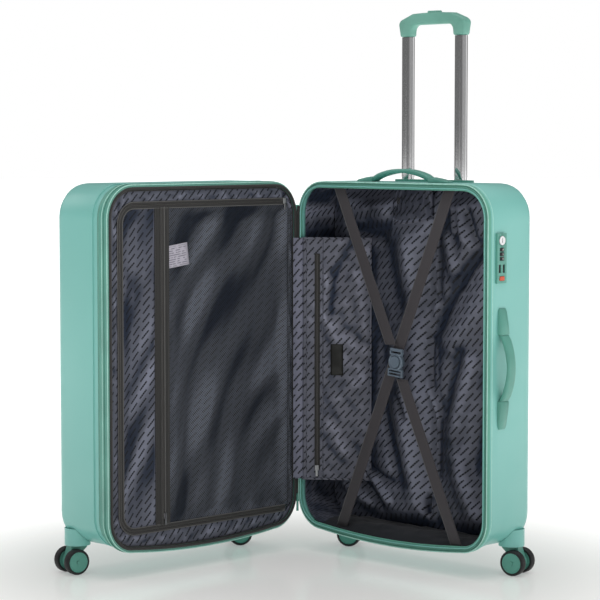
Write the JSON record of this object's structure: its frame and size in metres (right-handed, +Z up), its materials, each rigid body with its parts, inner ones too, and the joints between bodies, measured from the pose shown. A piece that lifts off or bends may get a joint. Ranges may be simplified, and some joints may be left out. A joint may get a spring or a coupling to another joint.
{
  "type": "hard shell suitcase on wheels",
  "caption": "Large hard shell suitcase standing open on swivel casters, with a telescopic pull handle, lined halves, packing straps and a zipped divider.",
  "frame": {"origin": "on the floor, under the middle of the open case's box", "axes": "+Z up; +X across the back half from the hinge; +Y towards the back half's flat face"},
  "size_m": [0.6966, 0.666, 1.0825],
  "materials": {
    "shell": "pale aqua green moulded shell, fine satin texture",
    "trim": "mid green moulded trim, satin",
    "pole": "polished bright tube",
    "lining": "dark slate woven polyester lining with short diagonal dashes",
    "webbing": "dark grey woven webbing",
    "buckle": "blue grey acetal",
    "black_plastic": "black",
    "steel": "plain steel",
    "tyre": "black soft tread moulded on a green hub",
    "lock_red": "orange red button"
  },
  "bodies": {
    "case": {"back_shell": "shell", "back_zip_tape": "trim", "back_lining": "lining", "outer_tube_left": "pole", "outer_tube_right": "pole", "trolley_foot": "black_plastic", "trolley_bezel": "trim", "top_cap_hinge": "trim", "top_cap_outer": "trim", "side_cap_upper": "trim", "side_cap_lower": "trim", "lock_plate": "trim", "strap_a_upper": "webbing", "strap_a_lower": "webbing", "strap_b": "webbing", "buckle_socket": "buckle", "buckle_plug": "buckle", "spine_tape": "lining", "caster_housing_back_outer": "trim", "caster_housing_back_hinge": "trim"},
    "trolley": {"pole_left": "pole", "pole_right": "pole", "pull_grip": "trim"},
    "grip_press": {"grip_button": "trim"},
    "top_lift": {"top_handle": "trim"},
    "side_lift": {"side_handle": "trim"},
    "dial_1": {"lock_dial_1": "black_plastic"},
    "dial_2": {"lock_dial_2": "black_plastic"},
    "dial_3": {"lock_dial_3": "black_plastic"},
    "key_turn": {"key_cylinder": "steel"},
    "lock_press": {"lock_button": "lock_red"},
    "buckle_press": {"buckle_button": "buckle"},
    "flap": {"pocket_flap": "lining"},
    "flap_slider": {"flap_zip_slider": "black_plastic"},
    "puller": {"main_zip_puller": "trim"},
    "lid": {"lid_rim": "trim", "divider_border": "lining"},
    "front_case": {"front_shell": "shell", "front_lining": "lining", "caster_housing_front_outer": "trim", "caster_housing_front_hinge": "trim"},
    "divider": {"divider_panel": "lining"},
    "pocket_slider": {"pocket_zip_slider": "black_plastic"},
    "panel_slider": {"panel_zip_slider": "black_plastic"},
    "swivel_back_outer": {"caster_fork_back_outer": "trim", "caster_axle_back_outer": "steel"},
    "spin_back_outer_a": {"wheel_back_outer_a": "tyre"},
    "spin_back_outer_b": {"wheel_back_outer_b": "tyre"},
    "swivel_back_hinge": {"caster_fork_back_hinge": "trim", "caster_axle_back_hinge": "steel"},
    "spin_back_hinge_a": {"wheel_back_hinge_a": "tyre"},
    "spin_back_hinge_b": {"wheel_back_hinge_b": "tyre"},
    "swivel_front_outer": {"caster_fork_front_outer": "trim", "caster_axle_front_outer": "steel"},
    "spin_front_outer_a": {"wheel_front_outer_a": "tyre"},
    "spin_front_outer_b": {"wheel_front_outer_b": "tyre"},
    "swivel_front_hinge": {"caster_fork_front_hinge": "trim", "caster_axle_front_hinge": "steel"},
    "spin_front_hinge_a": {"wheel_front_hinge_a": "tyre"},
    "spin_front_hinge_b": {"wheel_front_hinge_b": "tyre"}
  },
  "joints": [
    {"name": "lid_hinge", "type": "hinge", "parent": "case", "child": "lid", "pos_m": [-0.18163, 0.18327, 0.4], "axis": [0, 0, 1], "range_deg": [-90, 90]},
    {"name": "expansion_slide", "type": "slide", "parent": "lid", "child": "front_case", "axis": [-1, 0, 0], "range_m": [0, 0.035]},
    {"name": "divider_hinge", "type": "hinge", "parent": "lid", "child": "divider", "pos_m": [-0.18613, 0.16207, 0.39], "axis": [0, 0, -1], "range_deg": [-75, 0]},
    {"name": "pocket_zip", "type": "slide", "parent": "divider", "child": "pocket_slider", "axis": [0, 0, 1], "range_m": [0, 0.57]},
    {"name": "panel_zip", "type": "slide", "parent": "divider", "child": "panel_slider", "axis": [0, -1, 0], "range_m": [0, 0.385]},
    {"name": "flap_hinge", "type": "hinge", "parent": "case", "child": "flap", "pos_m": [-0.17213, 0.18477, 0.39], "axis": [0, 0, 1], "range_deg": [-28, 3]},
    {"name": "flap_zip", "type": "slide", "parent": "flap", "child": "flap_slider", "axis": [0, 0, 1], "range_m": [0, 0.42]},
    {"name": "trolley_slide", "type": "slide", "parent": "case", "child": "trolley", "axis": [0, 0, 1], "range_m": [-0.275, 0]},
    {"name": "grip_button_press", "type": "slide", "parent": "trolley", "child": "grip_press", "axis": [0, 0, -1], "range_m": [0, 0.003], "stiffness_N_per_m": 400},
    {"name": "top_handle_lift", "type": "slide", "parent": "case", "child": "top_lift", "axis": [0, 0, 1], "range_m": [0, 0.006]},
    {"name": "side_handle_lift", "type": "slide", "parent": "case", "child": "side_lift", "axis": [1, 0, 0], "range_m": [0, 0.006]},
    {"name": "key_turn", "type": "hinge", "parent": "case", "child": "key_turn", "pos_m": [0.32077, 0.21707, 0.6435], "axis": [1, 0, 0], "range_deg": [0, 90]},
    {"name": "lock_button_press", "type": "slide", "parent": "case", "child": "lock_press", "axis": [-1, 0, 0], "range_m": [0, 0.0015], "stiffness_N_per_m": 300},
    {"name": "buckle_press", "type": "slide", "parent": "case", "child": "buckle_press", "axis": [0, 1, 0], "range_m": [0, 0.0015], "stiffness_N_per_m": 300},
    {"name": "puller_swing", "type": "hinge", "parent": "case", "child": "puller", "pos_m": [-0.18163, 0.18327, 0.112], "axis": [0.7071, 0.7071, 0], "range_deg": [-8, 8]},
    {"name": "dial_1_turn", "type": "hinge", "parent": "case", "child": "dial_1", "pos_m": [0.32198, 0.21707, 0.6265], "axis": [0, 0, 1], "continuous": true},
    {"name": "dial_2_turn", "type": "hinge", "parent": "case", "child": "dial_2", "pos_m": [0.32198, 0.21707, 0.618], "axis": [0, 0, 1], "continuous": true},
    {"name": "dial_3_turn", "type": "hinge", "parent": "case", "child": "dial_3", "pos_m": [0.32198, 0.21707, 0.6095], "axis": [0, 0, 1], "continuous": true},
    {"name": "caster_back_outer_swivel", "type": "hinge", "parent": "case", "child": "swivel_back_outer", "pos_m": [0.29278, 0.29027, 0.054], "axis": [0, 0, 1], "continuous": true},
    {"name": "wheel_back_outer_a_spin", "type": "hinge", "parent": "swivel_back_outer", "child": "spin_back_outer_a", "pos_m": [0.31013, 0.2739, 0.0247], "axis": [-0.2359, 0.9718, 0], "continuous": true},
    {"name": "wheel_back_outer_b_spin", "type": "hinge", "parent": "swivel_back_outer", "child": "spin_back_outer_b", "pos_m": [0.30069, 0.31277, 0.0247], "axis": [-0.2359, 0.9718, 0], "continuous": true},
    {"name": "caster_back_hinge_swivel", "type": "hinge", "parent": "case", "child": "swivel_back_hinge", "pos_m": [-0.15063, 0.29027, 0.054], "axis": [0, 0, -1], "continuous": true},
    {"name": "wheel_back_hinge_a_spin", "type": "hinge", "parent": "swivel_back_hinge", "child": "spin_back_hinge_a", "pos_m": [-0.12901, 0.28018, 0.0247], "axis": [-0.5291, 0.8486, 0], "continuous": true},
    {"name": "wheel_back_hinge_b_spin", "type": "hinge", "parent": "swivel_back_hinge", "child": "spin_back_hinge_b", "pos_m": [-0.15018, 0.31412, 0.0247], "axis": [-0.5291, 0.8486, 0], "continuous": true},
    {"name": "caster_front_outer_swivel", "type": "hinge", "parent": "front_case", "child": "swivel_front_outer", "pos_m": [-0.30562, -0.29113, 0.054], "axis": [0, 0, 1], "continuous": true},
    {"name": "wheel_front_outer_a_spin", "type": "hinge", "parent": "swivel_front_outer", "child": "spin_front_outer_a", "pos_m": [-0.32775, -0.30006, 0.0247], "axis": [0.9815, -0.1917, 0], "continuous": true},
    {"name": "wheel_front_outer_b_spin", "type": "hinge", "parent": "swivel_front_outer", "child": "spin_front_outer_b", "pos_m": [-0.28849, -0.30772, 0.0247], "axis": [0.9815, -0.1917, 0], "continuous": true},
    {"name": "caster_front_hinge_swivel", "type": "hinge", "parent": "front_case", "child": "swivel_front_hinge", "pos_m": [-0.30562, 0.15227, 0.054], "axis": [0, 0, 1], "continuous": true},
    {"name": "wheel_front_hinge_a_spin", "type": "hinge", "parent": "swivel_front_hinge", "child": "spin_front_hinge_a", "pos_m": [-0.32947, 0.15182, 0.0247], "axis": [0.8486, -0.5291, 0], "continuous": true},
    {"name": "wheel_front_hinge_b_spin", "type": "hinge", "parent": "swivel_front_hinge", "child": "spin_front_hinge_b", "pos_m": [-0.29553, 0.13066, 0.0247], "axis": [0.8486, -0.5291, 0], "continuous": true}
  ]
}
